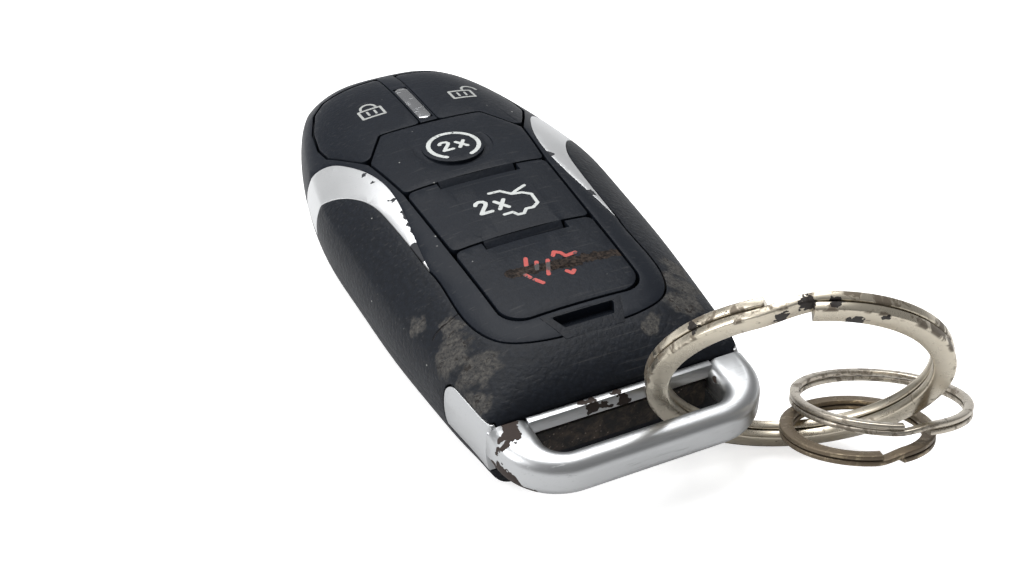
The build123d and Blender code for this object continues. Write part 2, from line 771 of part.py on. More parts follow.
with BuildPart() as inner_chassis:
    add(hollow(wall + lip_gap + lip_wall + chassis_gap, hollow_stations))
    with Locations((0, chassis_y, chassis_low_z)):
        Box(fob_width, chassis_l, board_z - chassis_gap - chassis_low_z,
            align=(Align.CENTER, Align.CENTER, Align.MIN), mode=Mode.INTERSECT)
    with Locations((battery_x, battery_y, 0)):
        Cylinder(battery_r + battery_gap, battery_top_z + battery_gap,
                 align=(Align.CENTER, Align.CENTER, Align.MIN), mode=Mode.SUBTRACT)
    with Locations((battery_x, battery_y, battery_top_z)):
        Box(leaf_w + battery_gap * 2, battery_r * 2 - leaf_w + battery_gap * 2, fob_height,
            mode=Mode.SUBTRACT)
    with Locations((battery_x, battery_y, 0)):
        Box(battery_r * 2 + leaf_reach * 2 + battery_gap * 2, leaf_w + battery_gap * 2,
            fob_height * 2, mode=Mode.SUBTRACT)
    add(blade_channel.part, mode=Mode.SUBTRACT)
    add(tongue_space, mode=Mode.SUBTRACT)
    with Locations((coil_x, coil_y, 0)):
        Box(coil_w + battery_gap * 2, coil_w + battery_gap * 2, fob_height * 2, mode=Mode.SUBTRACT)
    with Locations((transponder_x, transponder_y, 0)):
        Box(transponder_l + battery_gap * 2, transponder_w + coil_end_t * 4, fob_height * 2,
            mode=Mode.SUBTRACT)
    with Locations((chip_x, chip_y, board_z), (radio_x, radio_y, board_z),
                   (crystal_x, crystal_y, board_z)):
        Box(chip_w + battery_gap * 2, chip_w + battery_gap * 2, chip_t * 4, mode=Mode.SUBTRACT)
    with Locations((slider_x, slider_y, 0)):
        Box(slider_w + slider_wing * 2, slider_l + slider_wing + slider_travel * 2,
            (slider_low_z + slider_body_t + slider_plate_t + slider_gap) * 2, mode=Mode.SUBTRACT)
    with Locations((board_hole_x, board_hole_y, board_z - chassis_gap),
                   (-board_hole_x, board_hole_y, board_z - chassis_gap),
                   (board_hole_x, -board_hole_y, board_z - chassis_gap),
                   (-board_hole_x, -board_hole_y, board_z - chassis_gap)):
        Cylinder(peg_r, board_t + chassis_gap * 2, align=(Align.CENTER, Align.CENTER, Align.MIN))
inner_chassis.part.label = "inner_chassis"
export_step(inner_chassis.part, "parts/inner_chassis.step")

with BuildPart() as release_spring:
    with BuildSketch(Plane.XY.offset(slider_low_z + slider_body_t)):
        with BuildLine():
            Polyline(*[(slider_x + spring_w / 2 * side, spring_y + i * spring_pitch)
                       for i, side in enumerate(spring_side_shares)])
        trace(line_width=leaf_t)
    extrude(amount=slider_plate_t)
release_spring.part.label = "release_spring"
export_step(release_spring.part, "parts/release_spring.step")

with BuildPart() as key_blade:
    with BuildSketch(Plane.XY.offset(blade_z)):
        with BuildLine():
            Polyline((blade_x - blade_w / 2, blade_root_y), (blade_x + blade_w / 2, blade_root_y),
                     (blade_x + blade_w / 2, blade_tip_y - blade_w / 2),
                     (blade_x + blade_w / 6, blade_tip_y), (blade_x - blade_w / 6, blade_tip_y),
                     (blade_x - blade_w / 2, blade_tip_y - blade_w / 2), close=True)
        make_face()
    extrude(amount=blade_t)
    for low in (blade_z, blade_z + blade_t - track_depth):
        with BuildSketch(Plane.XY.offset(low)):
            with BuildLine():
                Polyline(*[(blade_x + x * blade_w, blade_root_y + y * (blade_tip_y - blade_root_y))
                           for x, y in track_shares])
            trace(line_width=track_w)
        extrude(amount=track_depth, mode=Mode.SUBTRACT)
key_blade.part.label = "key_blade"
export_step(key_blade.part, "parts/key_blade.step")

with BuildPart() as blade_holder:
    with Locations((blade_x, loop_back_y, tongue_low_z)):
        Box(tongue_w, tongue_top_y - loop_back_y, tongue_h,
            align=(Align.CENTER, Align.MIN, Align.MIN))
    with Locations((0, loop_back_y, tongue_low_z)):
        Box(loop_hole_half_w * 2 - ear_gap, holder_t, tongue_h,
            align=(Align.CENTER, Align.MAX, Align.MIN))
    with Locations((blade_x, blade_root_y, blade_z)):
        Box(blade_w, blade_tip_y - blade_root_y, blade_t,
            align=(Align.CENTER, Align.MIN, Align.MIN), mode=Mode.SUBTRACT)
blade_holder.part.label = "blade_holder"
export_step(blade_holder.part, "parts/blade_holder.step")

loop_w = station_w_shares[0] * half_w
with BuildPart() as ears:
    add(envelope.part)
    add(ear_block(0), mode=Mode.INTERSECT)
    with Locations((0, loop_back_y, 0)):
        Box(fob_width * 2, fob_length, fob_height * 2, align=(Align.CENTER, Align.MAX, Align.CENTER),
            mode=Mode.SUBTRACT)

with BuildPart() as key_loop:
    with BuildSketch(Plane.XY.offset(loop_low_z)) as loop_face:
        with BuildLine():
            Polyline((-loop_w, loop_back_y), (-loop_end_w, loop_end_y), (loop_end_w, loop_end_y),
                     (loop_w, loop_back_y), close=True)
        make_face()
        fillet(loop_face.vertices().group_by(Axis.Y)[0], radius=loop_corner_r)
        with BuildSketch(mode=Mode.PRIVATE) as hole_face:
            with Locations((0, loop_hole_low_y)):
                Rectangle(loop_hole_half_w * 2, half_l, align=(Align.CENTER, Align.MIN))
            fillet(hole_face.vertices().group_by(Axis.Y)[0], radius=loop_hole_r)
        add(hole_face.sketch, mode=Mode.SUBTRACT)
    extrude(amount=loop_top_z - loop_low_z)
    rims = key_loop.edges().filter_by(Plane.XY)
    fillet(rims.filter_by(lambda e: e.center().Y < loop_back_y - loop_band_t), radius=loop_round)
    with Locations((0, loop_back_y, loop_band_low_z)):
        Box(loop_hole_half_w * 2 + loop_band_t, loop_band_t, loop_top_z - loop_band_low_z,
            align=(Align.CENTER, Align.MAX, Align.MIN))
    with Locations((ear_x, loop_back_y, loop_low_z + loop_round / 2),
                   (-ear_x - bridge_w, loop_back_y, loop_low_z + loop_round / 2)):
        Box(bridge_w, ear_gap * 4, loop_top_z - loop_low_z - loop_round,
            align=(Align.MIN, Align.CENTER, Align.MIN))
    add(ears.part)
    add(blade_holder.part, mode=Mode.SUBTRACT)
key_loop.part.label = "key_loop"
export_step(key_loop.part, "parts/key_loop.step")


def ring_plane(centre, normal):
    # Plane of a ring, with its first direction level.
    z_dir = Vector(*normal).normalized()
    return Plane(origin=centre, x_dir=z_dir.cross(Vector(0, 0, 1)), z_dir=z_dir)


def split_ring(centre, normal, radius, wire_w, wire_t):
    # Two turns of flat wire, with a step between the turns beside their ends.
    rise = (wire_t + ring_turn_gap) / 2
    with BuildPart() as front_turn:
        with BuildSketch(Plane.XZ):
            with Locations((radius, rise)):
                Rectangle(wire_w, wire_t)
        revolve(axis=Axis.Z, revolution_arc=front_end - step_from + 360)
    with BuildPart() as back_turn:
        with BuildSketch(Plane.XZ):
            with Locations((radius, -rise)):
                Rectangle(wire_w, wire_t)
        revolve(axis=Axis.Z, revolution_arc=step_to - back_end + 360)
    with BuildPart() as ring:
        for i, share in enumerate(step_shares):
            angle = math.radians(step_from + (step_to - step_from) * i / (len(step_shares) - 1))
            out = Vector(math.cos(angle), math.sin(angle), 0)
            along = Vector(-math.sin(angle), math.cos(angle), 0)
            at = out * radius + Vector(0, 0, rise * share)
            with BuildSketch(Plane(origin=at, x_dir=out, z_dir=along)):
                Rectangle(wire_w, wire_t)
        loft()
        add(front_turn.part.moved(Rot(0, 0, step_from - 360)))
        add(back_turn.part.moved(Rot(0, 0, back_end - 360)))
    return ring.part.moved(ring_plane(centre, normal).location)


key_ring = split_ring(ring_centre, ring_normal, ring_r, ring_wire_w, ring_wire_t)
key_ring.label = "key_ring"
export_step(key_ring, "parts/key_ring.step")
small_ring = split_ring(small_centre, small_normal, small_r, small_wire_w, small_wire_t)
small_ring.label = "small_ring"
export_step(small_ring, "parts/small_ring.step")
ring_link = split_ring(link_centre, link_normal, link_r, link_wire_w, link_wire_t)
ring_link.label = "ring_link"
export_step(ring_link, "parts/ring_link.step")
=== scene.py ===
import json
import math
import bmesh
import bpy
from mathutils import Matrix, Vector, geometry
from mathutils.bvhtree import BVHTree

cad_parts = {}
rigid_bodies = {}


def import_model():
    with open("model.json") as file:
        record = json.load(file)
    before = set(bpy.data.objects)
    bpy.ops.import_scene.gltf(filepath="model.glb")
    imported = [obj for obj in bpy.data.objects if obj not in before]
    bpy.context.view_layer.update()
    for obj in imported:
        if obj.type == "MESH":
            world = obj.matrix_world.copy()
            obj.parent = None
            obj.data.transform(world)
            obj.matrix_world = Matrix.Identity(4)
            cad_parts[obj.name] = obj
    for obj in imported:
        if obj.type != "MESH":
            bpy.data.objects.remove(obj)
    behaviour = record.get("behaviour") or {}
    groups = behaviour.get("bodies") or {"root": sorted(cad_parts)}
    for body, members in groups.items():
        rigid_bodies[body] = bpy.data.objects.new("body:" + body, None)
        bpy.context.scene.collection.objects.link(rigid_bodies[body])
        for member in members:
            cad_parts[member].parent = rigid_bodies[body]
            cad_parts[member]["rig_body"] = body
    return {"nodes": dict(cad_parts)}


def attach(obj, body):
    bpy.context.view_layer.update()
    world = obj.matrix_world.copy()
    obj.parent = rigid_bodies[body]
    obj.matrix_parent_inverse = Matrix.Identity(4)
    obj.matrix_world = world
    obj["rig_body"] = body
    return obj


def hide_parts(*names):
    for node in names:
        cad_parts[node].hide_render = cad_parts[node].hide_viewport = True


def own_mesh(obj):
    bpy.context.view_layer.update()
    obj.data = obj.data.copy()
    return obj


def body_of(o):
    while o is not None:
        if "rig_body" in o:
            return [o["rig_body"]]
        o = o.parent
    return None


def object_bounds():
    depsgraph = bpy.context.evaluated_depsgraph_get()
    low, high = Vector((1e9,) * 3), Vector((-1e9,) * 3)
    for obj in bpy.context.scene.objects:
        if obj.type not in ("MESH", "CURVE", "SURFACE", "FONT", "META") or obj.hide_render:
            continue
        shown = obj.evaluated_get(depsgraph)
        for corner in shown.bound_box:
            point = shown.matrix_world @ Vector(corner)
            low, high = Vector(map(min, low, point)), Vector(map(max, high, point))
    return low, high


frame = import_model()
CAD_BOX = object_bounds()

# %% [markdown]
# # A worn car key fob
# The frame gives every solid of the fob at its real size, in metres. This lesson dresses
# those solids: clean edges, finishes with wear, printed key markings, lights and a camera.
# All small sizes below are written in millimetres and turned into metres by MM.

MM = 0.001
NODES = frame["nodes"]
print("nodes", len(NODES), "box in mm", [[round(v / MM, 1) for v in c] for c in CAD_BOX])

# %% [markdown]
# ## A small language for finishes
# A finish is a tree of shader nodes. Wiring them by hand is slow to read, so one class wraps
# an output socket and lets Python's own + - * / build the Math nodes. Every other node comes
# from make(), which sets the node's settings first and then its inputs.

# %% The Wire class
class Wire:
    def __init__(self, tree, socket=None):
        self.tree = tree
        self.socket = socket

    def make(self, kind, settings=None, out=0, **values):
        made = self.tree.nodes.new(kind)
        for key, value in (settings or {}).items():
            setattr(made, key, value)
        for key, value in values.items():
            name = key.replace("_", " ")
            socket = made.inputs[int(key[1:])] if key[1:].isdigit() else made.inputs[name]
            if isinstance(value, Wire):
                self.tree.links.new(value.socket, socket)
            else:
                socket.default_value = value
        return Wire(self.tree, made.outputs[out])

    def math(self, operation, *others, clamp=False):
        settings = {"operation": operation, "use_clamp": clamp}
        values = {f"i{i}": v for i, v in enumerate(others)}
        return self.make("ShaderNodeMath", settings, **values)

    def __add__(self, other):
        return self.math("ADD", self, other)

    def __radd__(self, other):
        return self.math("ADD", other, self)

    def __sub__(self, other):
        return self.math("SUBTRACT", self, other)

    def __rsub__(self, other):
        return self.math("SUBTRACT", other, self)

    def __mul__(self, other):
        return self.math("MULTIPLY", self, other)

    def __rmul__(self, other):
        return self.math("MULTIPLY", other, self)

    def __truediv__(self, other):
        return self.math("DIVIDE", self, other)

    def most(self, other):
        return self.math("MAXIMUM", self, other)

    def ease(self, low, high, to_low=0.0, to_high=1.0):
        # A smooth step from to_low to to_high as the value goes from low to high.
        return self.make("ShaderNodeMapRange", {"interpolation_type": "SMOOTHSTEP"}, i0=self,
                         i1=low, i2=high, i3=to_low, i4=to_high)

    def tint(self, low, high):
        # Blends two colours by this value.
        mixed = self.tree.nodes.new("ShaderNodeMix")
        mixed.data_type = "RGBA"
        pairs = ((mixed.inputs[0], self), (mixed.inputs[6], low), (mixed.inputs[7], high))
        for socket, value in pairs:
            if isinstance(value, Wire):
                self.tree.links.new(value.socket, socket)
            else:
                socket.default_value = (*value, 1)
        return Wire(self.tree, mixed.outputs[2])


print("Wire ready")

# %% [markdown]
# ## Patterns in millimetres
# Object coordinates are metres, so one helper scales them to millimetres. Patterns then read
# in real sizes: grain cells of half a millimetre, flakes of two, smudges of ten.

# %% Pattern helpers
def start(name):
    material = bpy.data.materials.new(name)
    material.use_nodes = True
    tree = material.node_tree
    shader = tree.nodes["Principled BSDF"]
    w = Wire(tree)
    coords = w.make("ShaderNodeTexCoord", out="Object")
    w.mm = w.make("ShaderNodeVectorMath", {"operation": "SCALE"}, i0=coords, i3=1 / MM)
    w.shader = shader
    return material, w


def cloud(w, size, detail=3.0, rough=0.55, at=None, warp=0.0):
    return w.make("ShaderNodeTexNoise", i2=1 / size, i3=detail, i4=rough, Vector=at or w.mm,
                  Distortion=warp)


def cells(w, size, feature="F1", out="Distance", at=None, jitter=1.0):
    return w.make("ShaderNodeTexVoronoi", {"feature": feature}, out=out, Vector=at or w.mm,
                  Scale=1 / size, Randomness=jitter)


def ball(w, centre, radius, soft=0.5, at=None):
    # 1 inside a ball, falling to 0 over its outer part.
    far = w.make("ShaderNodeVectorMath", {"operation": "DISTANCE"}, out="Value", i0=at or w.mm,
                 i1=centre)
    return far.ease(radius, radius * (1 - soft))


def balls(w, spots, at=None, soft=0.5):
    found = None
    for centre, radius in spots:
        one = ball(w, centre, radius, soft, at)
        found = one if found is None else found.most(one)
    return found


def stirred(w, size, reach):
    # The same coordinates pushed about by slow noise, so that a round mask turns ragged.
    push = w.make("ShaderNodeTexNoise", out="Color", Vector=w.mm, Scale=1 / size, Detail=2.0)
    centred = w.make("ShaderNodeVectorMath", {"operation": "SUBTRACT"}, i0=push, i1=(0.5, 0.5, 0.5))
    scaled = w.make("ShaderNodeVectorMath", {"operation": "SCALE"}, i0=centred, i3=reach)
    return w.make("ShaderNodeVectorMath", i0=w.mm, i1=scaled)


def near_line(w, a, b, width, soft=0.5, at=None):
    # 1 on the line from a to b, falling to 0 at the given half width.
    a, b = Vector(a), Vector(b)
    run = b - a
    off = w.make("ShaderNodeVectorMath", {"operation": "SUBTRACT"}, i0=at or w.mm, i1=tuple(a))
    along = w.make("ShaderNodeVectorMath", {"operation": "DOT_PRODUCT"}, out="Value", i0=off,
                   i1=tuple(run))
    share = along.math("MULTIPLY", along, 1 / run.length_squared, clamp=True)
    foot = w.make("ShaderNodeVectorMath", {"operation": "SCALE"}, i0=tuple(run), i3=share)
    far = w.make("ShaderNodeVectorMath", {"operation": "DISTANCE"}, out="Value", i0=off, i1=foot)
    return far.ease(width, width * (1 - soft))


def path_mask(w, points, width, soft=0.5, at=None):
    found = None
    for a, b in zip(points, points[1:]):
        one = near_line(w, a, b, width, soft, at)
        found = one if found is None else found.most(one)
    return found


def flaked(w, points, width):
    # A path whose edge is torn by noise, before the step that makes it a mask.
    path = path_mask(w, points, width, 0.55, stirred(w, 0.8, 1.2))
    return path + (cloud(w, 0.5, 5.0, 0.75) - 0.5) * 2.2


def set_up(w, **values):
    for key, value in values.items():
        socket = w.shader.inputs[key.replace("_", " ")]
        if isinstance(value, Wire):
            w.tree.links.new(value.socket, socket)
        elif isinstance(value, tuple) and len(value) == 3:
            socket.default_value = (*value, 1)
        else:
            socket.default_value = value


def relief(w, height, strength=0.5, depth=0.05):
    # depth is the bump's height in millimetres.
    normal = w.make("ShaderNodeBump", Strength=strength, Distance=depth * MM, Height=height)
    set_up(w, Normal=normal)


print("patterns ready")

# %% [markdown]
# ## Dark plastics
# The fob has two dark plastics. The front is smooth and blue-black, with hairline scratches
# and settled dust. The grip is moulded with fine pebbled grain, and it has been rubbed pale
# and matt at the lower corners where it is held. Each worn place is a soft ball or a path in
# the fob's own millimetres, and noise tears its edge.

# %% Dark plastic finishes
DARK = (0.0045, 0.0062, 0.0098)
DARK_GRIP = (0.0045, 0.006, 0.0092)
DUST = (0.16, 0.155, 0.15)


def dark_plastic(name, tone, grain, gloss, worn_spots=(), tears=(), peel=(), sheen=0.13):
    # tone is linear, grain and gloss run from 0 to 1, and spots and paths are in millimetres.
    material, w = start(name)
    smudge = cloud(w, 9.0, 4.0, 0.6, warp=0.4)
    fine = cloud(w, 0.2, 2.0, 0.6)
    pebble = cells(w, 0.5, "SMOOTH_F1")
    crease = cells(w, 1.3, "DISTANCE_TO_EDGE")
    speck = cells(w, 2.1).ease(0.07, 0.04) * cloud(w, 6.0).ease(0.52, 0.6)
    streak_at = w.make("ShaderNodeMapping", Vector=w.mm, Rotation=(0, 0, 0.5),
                       Scale=(0.05, 1.6, 1.6))
    streak = cloud(w, 0.5, 2.0, 0.5, at=streak_at).ease(0.62, 0.72)
    rough = gloss + 0.14 * smudge + 0.12 * fine
    colour = (smudge * 0.6 + fine * 0.3).tint(tone, tuple(v * 2.0 for v in tone))
    # Painted shade: the valleys between the grain's pebbles are darkened.
    colour = (pebble.ease(0.2, 0.6) * grain * 0.5).tint(colour, tuple(v * 0.45 for v in tone))
    height = fine * (0.15 + 0.5 * grain) + (1 - pebble) * grain
    height = height + crease.ease(0.0, 0.12) * grain * 0.16
    if worn_spots:
        patch = balls(w, worn_spots, stirred(w, 2.6, 4.5), 0.65)
        worn = (patch + (cloud(w, 1.2, 5.0, 0.7) - 0.5) * 1.6).ease(0.3, 1.0)
        scuff = cloud(w, 0.45, 5.0, 0.75)
        colour = (worn * scuff.ease(0.2, 0.8)).tint(colour, (0.1, 0.094, 0.085))
        pit = worn * cloud(w, 0.9, 3.0, 0.6, warp=0.8).ease(0.58, 0.66)
        colour = (pit * 0.85).tint(colour, (0.012, 0.009, 0.008))
        rough = rough + worn * 0.22
        height = height + worn * (scuff - 0.5) * 1.6 - pit * 0.9
    for points, width in tears:
        tear = path_mask(w, points, width, 0.8, stirred(w, 0.8, 0.7))
        colour = (tear * 0.9).tint(colour, (0.004, 0.003, 0.003))
        height = height - tear * 2.5
    for points, width in peel:
        bare = flaked(w, points, width).ease(0.42, 0.6)
        mottle = cloud(w, 0.4, 4.0, 0.7)
        under = mottle.ease(0.35, 0.7).tint((0.002, 0.0015, 0.0015), (0.05, 0.036, 0.028))
        colour = bare.tint(colour, under)
        rough = rough + bare * 0.25
        height = height - bare * 0.9 + bare * mottle * 0.9
    colour = (speck * 0.7).tint(colour, (0.5, 0.5, 0.48))
    colour = (streak * 0.1).tint(colour, DUST)
    set_up(w, Base_Color=colour, Roughness=rough.math("MINIMUM", rough, 0.95),
           Specular_IOR_Level=sheen)
    relief(w, height, 0.8, 0.07)
    return material


smooth_black = dark_plastic("smooth_black", DARK, 0.08, 0.3)
grip_spots = (((-12.8, -17.6, 12.0), 2.4), ((-14.2, -20.6, 11.0), 3.6),
              ((-13.2, -24.4, 11.3), 3.8), ((-14.4, -27.6, 9.6), 2.6),
              ((-15.0, -14.0, 10.0), 2.2), ((11.0, -24.6, 11.9), 3.8),
              ((13.0, -21.4, 11.4), 3.4), ((14.0, -17.6, 11.2), 2.6), ((6.4, -26.4, 12.6), 2.0))
tear_path = ((-12.0, -16.2, 12.7), (-13.1, -16.6, 12.3), (-14.4, -16.5, 11.5), (-15.3, -17.0, 10.7))
grip_tears = ((tear_path, 0.16),)
grip_black = dark_plastic("grip_black", DARK_GRIP, 0.8, 0.38, grip_spots, grip_tears, sheen=0.16)
rear_black = dark_plastic("rear_black", DARK_GRIP, 0.8, 0.4, sheen=0.2)
key_black = dark_plastic("key_black", DARK, 0.35, 0.34)
panic_peel = ((((-4.6, -14.1, 14.3), (3.4, -14.8, 14.3), (8.5, -15.1, 13.9)), 1.0),
              (((-1.2, -14.9, 14.3), (3.0, -15.7, 14.3)), 0.5))
panic_black = dark_plastic("panic_black", DARK, 0.45, 0.34, peel=panic_peel)
print("dark plastics", smooth_black.name, grip_black.name, rear_black.name, key_black.name)

# %% [markdown]
# ## Silver paint, worn plating and nickel
# The shoulder trims are plastic under satin silver paint, chipped along the inner edge. The
# loop is plated metal with a dark brown patch where the plating has flaked off. The rings are
# nickel, and have a finish of their own below.

# %% Bright finishes
def silver_finish(name, tone, metal, gloss, chips=(), chip_tone=None, bite=0.5, size=1.1, runs=()):
    # chips are balls and runs are paths where the coat is gone; bite is where noise cuts it.
    material, w = start(name)
    haze = cloud(w, 5.0, 4.0, 0.6)
    fine = cloud(w, 0.12, 2.0, 0.6)
    scratch_at = w.make("ShaderNodeMapping", Vector=w.mm, Rotation=(0.3, 0.2, 0.9),
                        Scale=(0.06, 1, 1))
    scratch = cloud(w, 0.2, 2.0, 0.5, at=scratch_at).ease(0.63, 0.72)
    colour = haze.tint(tuple(v * 0.9 for v in tone), tone)
    colour = (scratch * 0.25).tint(colour, tuple(v * 0.6 for v in tone))
    rough = gloss + haze * 0.1 + fine * 0.08 + scratch * 0.1
    metallic = metal
    height = fine * 0.1 - scratch * 0.25
    if chips:
        pushed = stirred(w, size, size * 1.6)
        patch = balls(w, chips, pushed)
        for points, width in runs:
            patch = patch.most(path_mask(w, points, width, 0.6, pushed))
        ragged = patch + (cloud(w, size, 5.0, 0.65, warp=0.6) - 0.5) * 1.5
        gone = ragged.ease(bite, bite + 0.045)
        under = cloud(w, 0.5, 4.0, 0.7).tint(tuple(v * 0.5 for v in chip_tone), chip_tone)
        colour = gone.tint(colour, under)
        rough = rough + gone * 0.4
        metallic = metal * (1 - gone)
        height = height * (1 - gone) - gone * 1.6
    set_up(w, Base_Color=colour, Roughness=rough, Metallic=metallic)
    relief(w, height, 0.6, 0.06)
    return material


trim_chips = (((-11.6, 13.2, 12.8), 0.5), ((-11.3, 10.9, 13.1), 0.45), ((-10.8, 6.0, 13.4), 0.6),
              ((-12.1, -4.6, 12.9), 2.5), ((12.1, -9.4, 12.9), 2.6), ((10.6, 7.0, 13.5), 0.8),
              ((11.4, -2.2, 13.2), 0.8))
trim_edge = ((((-10.5, 3.2, 13.5), (-10.9, -2.6, 13.4)), 0.6),)
silver_paint = silver_finish("silver_paint", (0.62, 0.63, 0.64), 0.7, 0.3, trim_chips,
                             (0.02, 0.022, 0.028), 0.6, 0.9, trim_edge)
loop_chips = (((-14.4, -35.4, 6.4), 1.3), ((-15.0, -33.2, 6.4), 0.8), ((-3.4, -31.6, 8.6), 1.1),
              ((0.2, -31.6, 8.4), 1.2), ((-0.4, -31.4, 9.4), 0.9), ((10.4, -33.2, 8.4), 0.5),
              ((5.2, -31.9, 7.2), 0.6))
corner_path = ((-12.9, -31.3, 9.4), (-13.2, -32.7, 9.3), (-14.2, -33.7, 8.4), (-14.9, -34.1, 6.3),
               (-14.4, -36.1, 5.8))
loop_runs = ((corner_path, 1.35), (((-15.2, -34.1, 6.3), (-15.3, -32.0, 5.4)), 0.8),
             (((-14.4, -36.1, 5.8), (-12.9, -37.8, 5.4)), 0.7),
             (((-4.6, -31.4, 9.2), (-1.4, -31.7, 8.2)), 0.7))
loop_metal = silver_finish("loop_metal", (0.5, 0.51, 0.52), 1.0, 0.29, loop_chips,
                           (0.03, 0.017, 0.012), 0.5, 1.0, loop_runs)
strip_chrome = silver_finish("strip_chrome", (0.5, 0.51, 0.53), 1.0, 0.12)
print("bright finishes", silver_paint.name, loop_metal.name)

# %% [markdown]
# ## Nickel rings
# The rings are warmer than the loop, mottled, and dotted with dark tarnish. The outer edge of
# the turns is painted darker as shade, so one mask grows with the distance from the ring's hub.

# %% Nickel rings
def nickel_finish(name, tone, stain, spots=(), hub=None, rim=None):
    material, w = start(name)
    haze = cloud(w, 2.5, 4.0, 0.6)
    fine = cloud(w, 0.15, 2.0, 0.6)
    mottled = cloud(w, 1.2, 4.0, 0.65, warp=0.5)
    tarnish_and_edge_shade = (mottled + 0.25 * haze).ease(stain, stain + 0.12) * 0.7
    if hub:
        # Painted shade darkens the outer edge of the turns, further from the hub than the rim's
        # radius.
        far = w.make("ShaderNodeVectorMath", {"operation": "DISTANCE"}, out="Value", i0=w.mm,
                     i1=hub)
        edge = far.ease(rim - 0.35, rim) * cloud(w, 1.8, 4.0, 0.6, warp=0.5).ease(0.48, 0.6)
        tarnish_and_edge_shade = tarnish_and_edge_shade.most(edge * 0.85)
    colour = haze.tint(tuple(v * 0.8 for v in tone), tone)
    # Real tarnish darkens the colour here, and so does the painted shade on the key ring's outer
    # edge.
    colour = tarnish_and_edge_shade.tint(colour, (0.085, 0.062, 0.04))
    rough = 0.19 + haze * 0.12 + fine * 0.08 + tarnish_and_edge_shade * 0.3
    metallic = 1 - tarnish_and_edge_shade * 0.6
    if spots:
        ragged = balls(w, spots, stirred(w, 0.6, 1.5)) + (cloud(w, 0.5, 5.0, 0.7) - 0.5) * 1.2
        dark = ragged.ease(0.5, 0.58)
        colour = dark.tint(colour, (0.014, 0.01, 0.008))
        rough = rough + dark * 0.35
        metallic = metallic * (1 - dark)
    set_up(w, Base_Color=colour, Roughness=rough, Metallic=metallic)
    relief(w, fine * 0.2 + mottled * 0.2 - tarnish_and_edge_shade * 0.4, 0.4, 0.04)
    return material


KEY_RING_HUB = (14.4, -42.35, 14.85)
ring_spots = (((2.1, -41.0, 24.3), 0.9), ((8.5, -46.0, 27.3), 1.1), ((6.6, -44.4, 27.2), 0.8),
              ((10.6, -46.9, 28.6), 1.2), ((12.8, -48.3, 29.1), 0.9), ((14.7, -49.2, 26.8), 1.2),
              ((17.2, -50.4, 27.2), 0.7), ((4.6, -42.6, 26.4), 0.5))
ring_nickel = nickel_finish("ring_nickel", (0.66, 0.6, 0.49), 0.74, ring_spots, KEY_RING_HUB,
                            15.45)
small_nickel = nickel_finish("small_nickel", (0.56, 0.51, 0.43), 0.62)
link_rust = nickel_finish("link_rust", (0.3, 0.245, 0.17), 0.5)
print("nickel", ring_nickel.name, link_rust.name)

# %% [markdown]
# ## Parts inside
# A closed fob hides its board, cell and contacts. They still get an honest finish each, so
# the model looks right when it is taken apart. The blade's holder shows through the loop and
# has gathered dirt, so it gets a dusty finish with pale grit.

# %% Inner finishes
def plain_finish(name, tone, rough, metal, size):
    material, w = start(name)
    vary = cloud(w, size, 4.0, 0.6)
    fine = cloud(w, size / 8, 2.0, 0.6)
    colour = vary.tint(tuple(v * 0.75 for v in tone), tone)
    set_up(w, Base_Color=colour, Roughness=rough + fine * 0.15, Metallic=metal)
    relief(w, fine, 0.2, 0.03)
    return material


FINISH = {
    "front_bezel": smooth_black, "grip_shell": grip_black, "rear_shell": rear_black,
    "battery_cover": rear_black, "release_slider": rear_black,
    "shoulder_trim_left": silver_paint, "shoulder_trim_right": silver_paint,
    "centre_strip": strip_chrome, "lock_button": key_black, "unlock_button": key_black,
    "start_button": key_black, "trunk_button": key_black, "panic_button": panic_black,
    "key_loop": loop_metal, "key_ring": ring_nickel, "small_ring": small_nickel,
    "ring_link": link_rust,
    "keypad_mat": plain_finish("mat_rubber", (0.06, 0.06, 0.06), 0.7, 0.0, 3.0),
    "circuit_board": plain_finish("board_green", (0.03, 0.13, 0.06), 0.4, 0.0, 4.0),
    "inner_chassis": plain_finish("frame_black", (0.03, 0.03, 0.033), 0.5, 0.0, 4.0),
}


def dusty_finish(name):
    material, w = start(name)
    grain = cloud(w, 1.3, 6.0, 0.72, warp=0.6)
    grit = cells(w, 0.55).ease(0.24, 0.12) * cloud(w, 2.6, 3.0, 0.6).ease(0.5, 0.62)
    colour = grain.ease(0.4, 0.7).tint((0.006, 0.005, 0.005), (0.055, 0.04, 0.03))
    colour = (grit * 0.75).tint(colour, (0.24, 0.2, 0.17))
    set_up(w, Base_Color=colour, Roughness=0.75 + grain * 0.2)
    relief(w, grain + grit, 0.8, 0.12)
    return material


FINISH["blade_holder"] = dusty_finish("holder_dusty")
chip_black = plain_finish("part_black", (0.02, 0.02, 0.02), 0.45, 0.0, 1.5)
cell_steel = plain_finish("cell_steel", (0.7, 0.7, 0.68), 0.28, 1.0, 5.0)
copper = plain_finish("contact_metal", (0.75, 0.6, 0.34), 0.3, 1.0, 3.0)
for part in ("tact_switches", "control_chip", "radio_chip"):
    FINISH[part] = chip_black
for part in ("battery", "crystal", "key_blade", "release_spring"):
    FINISH[part] = cell_steel
for part in ("contact_positive", "contact_negative", "aerial_coil", "transponder_coil"):
    FINISH[part] = copper
print("finishes", len(FINISH), "missing", sorted(set(NODES) - set(FINISH)))

# %% [markdown]
# ## Softened edges
# Moulded and stamped parts have small round edges that catch the light. Each showing solid is
# copied, its loose triangles are joined, and a narrow bevel is cut along its sharp edges. The
# copy then stands for the solid, which stays as it was for collision, hidden.

# %% Dress a node
def applied(piece):
    # The piece's mesh with its modifiers worked in, and the modifiers gone.
    depsgraph = bpy.context.evaluated_depsgraph_get()
    mesh = bpy.data.meshes.new_from_object(piece.evaluated_get(depsgraph))
    piece.modifiers.clear()
    return mesh


